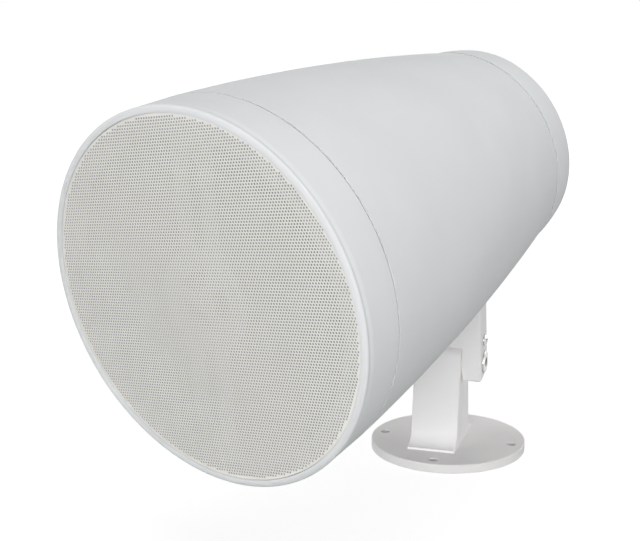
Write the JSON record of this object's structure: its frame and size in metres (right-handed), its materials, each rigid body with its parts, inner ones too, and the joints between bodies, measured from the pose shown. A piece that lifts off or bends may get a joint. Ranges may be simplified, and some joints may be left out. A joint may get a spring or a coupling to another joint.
{
  "type": "pendant speaker",
  "caption": "White barrel-shaped loudspeaker with a perforated round front, on a tilting and swivelling stem with a round base plate.",
  "frame": {"origin": "centre of the base plate's underside, in the middle of its fixing holes", "axes": "+Z out of the mounting surface, -Y towards the stem's front, +X to the right of the stem"},
  "size_m": [0.2275, 0.2892, 0.2352],
  "materials": {
    "white_painted_steel": "glossy white powder coat",
    "white_painted_aluminium": "glossy white paint on cast aluminium",
    "white_abs": "fine satin white moulded ABS",
    "white_painted_grille": "satin warm white powder coat on perforated sheet",
    "stainless_steel": "plain stainless",
    "zinc_steel": "bright zinc plating",
    "white_nylon": "satin moulded nylon",
    "dust_cloth": "thin grey acoustic cloth",
    "black_rubber": "matte moulded rubber",
    "grey_silicone": "satin moulded silicone",
    "black_abs": "matte black moulded ABS",
    "black_painted_steel": "satin black paint on pressed steel",
    "cone_pulp": "matte black pressed paper",
    "spider_cloth": "impregnated cotton",
    "copper_coil": "enamelled copper wire",
    "ferrite": "sintered ferrite",
    "plated_steel": "zinc plated soft iron",
    "grey_plastic": "moulded grey polyamide",
    "brass": "turned brass"
  },
  "bodies": {
    "base": {"base_plate": "white_painted_steel", "stem": "white_painted_aluminium", "stem_screw_1": "zinc_steel", "stem_screw_2": "zinc_steel"},
    "yoke": {"yoke": "white_painted_aluminium", "pivot_bolt": "stainless_steel", "pivot_nut": "zinc_steel", "friction_washer_left": "white_nylon", "friction_washer_right": "white_nylon", "lock_screw": "stainless_steel", "swivel_washer": "white_nylon"},
    "speaker": {"housing": "white_abs", "front_ring": "white_abs", "grille": "white_painted_grille", "dust_cloth": "dust_cloth", "rear_cap": "white_abs", "front_seal": "grey_silicone", "rear_seal": "grey_silicone", "rear_cap_screw_1": "stainless_steel", "rear_cap_screw_2": "stainless_steel", "rear_cap_screw_3": "stainless_steel", "rear_cap_screw_4": "stainless_steel", "swivel_bolt": "zinc_steel", "swivel_bolt_washer": "zinc_steel", "swivel_insert": "brass", "baffle": "black_abs", "baffle_screw_1": "zinc_steel", "baffle_screw_2": "zinc_steel", "baffle_screw_3": "zinc_steel", "baffle_screw_4": "zinc_steel", "driver_gasket": "black_rubber", "driver_basket": "black_painted_steel", "driver_screw_1": "zinc_steel", "driver_screw_2": "zinc_steel", "driver_screw_3": "zinc_steel", "driver_screw_4": "zinc_steel", "surround": "black_rubber", "spider": "spider_cloth", "top_plate": "plated_steel", "magnet": "ferrite", "pole_piece": "plated_steel", "transformer_core": "plated_steel", "transformer_winding": "copper_coil", "transformer_frame": "plated_steel", "transformer_screw_1": "zinc_steel", "transformer_screw_2": "zinc_steel", "terminal_block": "grey_plastic", "gland_body": "white_nylon", "gland_cap": "white_nylon", "gland_seal": "black_rubber", "gland_nut": "white_nylon"},
    "cone": {"cone": "cone_pulp", "dust_cap": "cone_pulp", "voice_coil": "copper_coil"}
  },
  "joints": [
    {"name": "tilt", "type": "hinge", "parent": "base", "child": "yoke", "pos_m": [-0.00285, 0, 0.054], "axis": [1, 0, 0], "range_deg": [-55, 9.5]},
    {"name": "swivel", "type": "hinge", "parent": "yoke", "child": "speaker", "pos_m": [-0.00285, 0, 0.054], "axis": [0, -0.1778, 0.9841], "range_deg": [-69, 110]},
    {"name": "cone_travel", "type": "slide", "parent": "speaker", "child": "cone", "axis": [0.3535, 0.9205, 0.1663], "range_m": [-0.003, 0.003], "stiffness_N_per_m": 3800, "deforming": ["surround", "spider"]}
  ]
}
